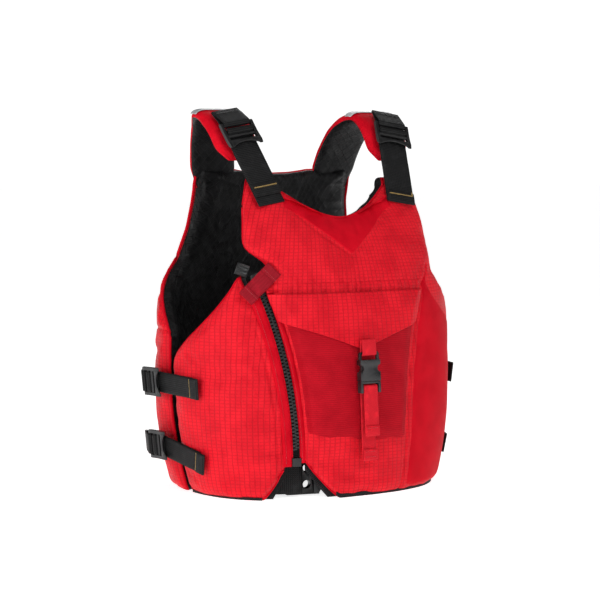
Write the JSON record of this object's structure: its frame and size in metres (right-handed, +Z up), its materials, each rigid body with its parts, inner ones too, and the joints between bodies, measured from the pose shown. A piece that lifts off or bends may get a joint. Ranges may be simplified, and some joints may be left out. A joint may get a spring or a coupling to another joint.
{
  "type": "life jacket",
  "caption": "Padded paddling life jacket with a zipped side panel, a flap pocket with a buckle, and webbing adjusters at the shoulders and sides.",
  "frame": {"origin": "middle of the hem's footprint, on the surface that the jacket stands on", "axes": "+X to the wearer's left, the front faces -Y, +Z up to the shoulders"},
  "size_m": [0.4154, 0.284, 0.4653],
  "materials": {
    "ripstop_red": "ripstop nylon",
    "plain_red": "plain nylon",
    "pocket_red": "ribbed cloth",
    "red_webbing": "woven webbing",
    "black_lining": "quilted nylon",
    "foam": "closed-cell foam",
    "reflective": "reflective tape",
    "black_plastic": "moulded acetal",
    "buckle_plastic": "moulded acetal",
    "black_webbing": "woven webbing"
  },
  "bodies": {
    "front": {"front_cover": "ripstop_red", "front_foam_right": "foam", "front_foam_left": "foam", "front_lining": "black_lining", "back_cover": "ripstop_red", "back_foam_middle_right": "foam", "back_foam_middle_left": "foam", "back_foam_right": "foam", "back_foam_left": "foam", "back_lining": "black_lining", "side_gussets": "black_lining", "neck_yoke": "plain_red", "side_band": "plain_red", "pocket_bag": "pocket_red", "pocket_strap": "red_webbing", "zip_tape_front": "plain_red", "zip_teeth_front": "black_plastic", "zip_garage": "black_plastic", "zip_end_box": "black_plastic", "shoulder_cover_right": "ripstop_red", "shoulder_cover_left": "ripstop_red", "shoulder_foam_right": "foam", "shoulder_foam_left": "foam", "shoulder_lining_right": "black_lining", "shoulder_lining_left": "black_lining", "reflective_bands": "reflective", "shoulder_web_right": "black_webbing", "shoulder_web_left": "black_webbing", "side_webs_left": "black_webbing", "lock_loops": "black_webbing", "belt_web": "black_webbing", "belt_buckle_socket": "buckle_plastic"},
    "side_panel": {"side_cover": "ripstop_red", "side_foam": "foam", "side_lining": "black_lining", "zip_tape_side": "plain_red", "zip_teeth_side": "black_plastic", "side_webs_right": "black_webbing"},
    "zip_slider": {"zip_slider": "black_plastic"},
    "zip_keeper": {"zip_keeper": "red_webbing"},
    "pocket_flap": {"pocket_flap": "ripstop_red", "flap_tab": "red_webbing", "pocket_buckle_socket": "buckle_plastic"},
    "pocket_plug": {"pocket_buckle_plug": "buckle_plastic", "pocket_strap_tail": "red_webbing"},
    "belt_plug": {"belt_buckle_plug": "buckle_plastic", "belt_plug_web": "black_webbing"},
    "shoulder_lock_right": {"shoulder_lock_right": "black_plastic"},
    "shoulder_tail_right": {"shoulder_tail_right": "black_webbing"},
    "side_lock_upper_right": {"side_lock_upper_right": "black_plastic"},
    "side_tail_upper_right": {"side_tail_upper_right": "black_webbing"},
    "side_lock_lower_right": {"side_lock_lower_right": "black_plastic"},
    "side_tail_lower_right": {"side_tail_lower_right": "black_webbing"},
    "shoulder_lock_left": {"shoulder_lock_left": "black_plastic"},
    "shoulder_tail_left": {"shoulder_tail_left": "black_webbing"},
    "side_lock_upper_left": {"side_lock_upper_left": "black_plastic"},
    "side_tail_upper_left": {"side_tail_upper_left": "black_webbing"},
    "side_lock_lower_left": {"side_lock_lower_left": "black_plastic"},
    "side_tail_lower_left": {"side_tail_lower_left": "black_webbing"}
  },
  "joints": [
    {"name": "zip_slider_travel", "type": "hinge", "parent": "front", "child": "zip_slider", "pos_m": [-0.44899, 0.25296, 0.04537], "axis": [0.6998, 0.714, 0.0242], "range_deg": [0, 22.6]},
    {"name": "side_panel_swing", "type": "hinge", "parent": "front", "child": "side_panel", "pos_m": [-0.19855, 0.05107, 0.0955], "axis": [0.1021, 0, -0.9948], "range_deg": [0, 60]},
    {"name": "zip_keeper_lift", "type": "hinge", "parent": "side_panel", "child": "zip_keeper", "pos_m": [-0.14015, -0.08177, 0.23805], "axis": [0.6149, -0.3554, -0.704], "range_deg": [0, 140]},
    {"name": "pocket_flap_lift", "type": "hinge", "parent": "front", "child": "pocket_flap", "pos_m": [0, -0.09793, 0.25], "axis": [-1, 0, 0], "range_deg": [0, 100]},
    {"name": "pocket_buckle_release", "type": "slide", "parent": "front", "child": "pocket_plug", "axis": [0, -0.0698, -0.9976], "range_m": [0, 0.022]},
    {"name": "belt_buckle_release", "type": "slide", "parent": "front", "child": "belt_plug", "axis": [-0.9789, 0.2045, 0], "range_m": [0, 0.022]},
    {"name": "shoulder_lock_right_tilt", "type": "hinge", "parent": "front", "child": "shoulder_lock_right", "pos_m": [-0.11257, -0.01345, 0.44368], "axis": [-0.983, -0.0922, -0.1586], "range_deg": [0, 40]},
    {"name": "shoulder_tail_right_pull", "type": "slide", "parent": "front", "child": "shoulder_tail_right", "axis": [0.1834, -0.4984, -0.8473], "range_m": [0, 0.04]},
    {"name": "shoulder_lock_left_tilt", "type": "hinge", "parent": "front", "child": "shoulder_lock_left", "pos_m": [0.11257, -0.01345, 0.44368], "axis": [-0.983, 0.0922, 0.1586], "range_deg": [0, 40]},
    {"name": "shoulder_tail_left_pull", "type": "slide", "parent": "front", "child": "shoulder_tail_left", "axis": [-0.1834, -0.4984, -0.8473], "range_m": [0, 0.04]},
    {"name": "side_lock_upper_right_tilt", "type": "hinge", "parent": "side_panel", "child": "side_lock_upper_right", "pos_m": [-0.2025, 0.05107, 0.134], "axis": [0.1021, 0, -0.9948], "range_deg": [0, 35]},
    {"name": "side_tail_upper_right_pull", "type": "slide", "parent": "side_panel", "child": "side_tail_upper_right", "axis": [0.1549, -0.9873, -0.0367], "range_m": [0, 0.03]},
    {"name": "side_lock_upper_left_tilt", "type": "hinge", "parent": "front", "child": "side_lock_upper_left", "pos_m": [0.2025, 0.05107, 0.134], "axis": [0.1021, 0, 0.9948], "range_deg": [0, 35]},
    {"name": "side_tail_upper_left_pull", "type": "slide", "parent": "front", "child": "side_tail_upper_left", "axis": [-0.1549, -0.9873, -0.0367], "range_m": [0, 0.03]},
    {"name": "side_lock_lower_right_tilt", "type": "hinge", "parent": "side_panel", "child": "side_lock_lower_right", "pos_m": [-0.1946, 0.05107, 0.057], "axis": [0.1021, 0, -0.9948], "range_deg": [0, 35]},
    {"name": "side_tail_lower_right_pull", "type": "slide", "parent": "side_panel", "child": "side_tail_lower_right", "axis": [0.1677, -0.967, -0.1918], "range_m": [0, 0.03]},
    {"name": "side_lock_lower_left_tilt", "type": "hinge", "parent": "front", "child": "side_lock_lower_left", "pos_m": [0.1946, 0.05107, 0.057], "axis": [0.1021, 0, 0.9948], "range_deg": [0, 35]},
    {"name": "side_tail_lower_left_pull", "type": "slide", "parent": "front", "child": "side_tail_lower_left", "axis": [-0.1677, -0.967, -0.1918], "range_m": [0, 0.03]}
  ]
}
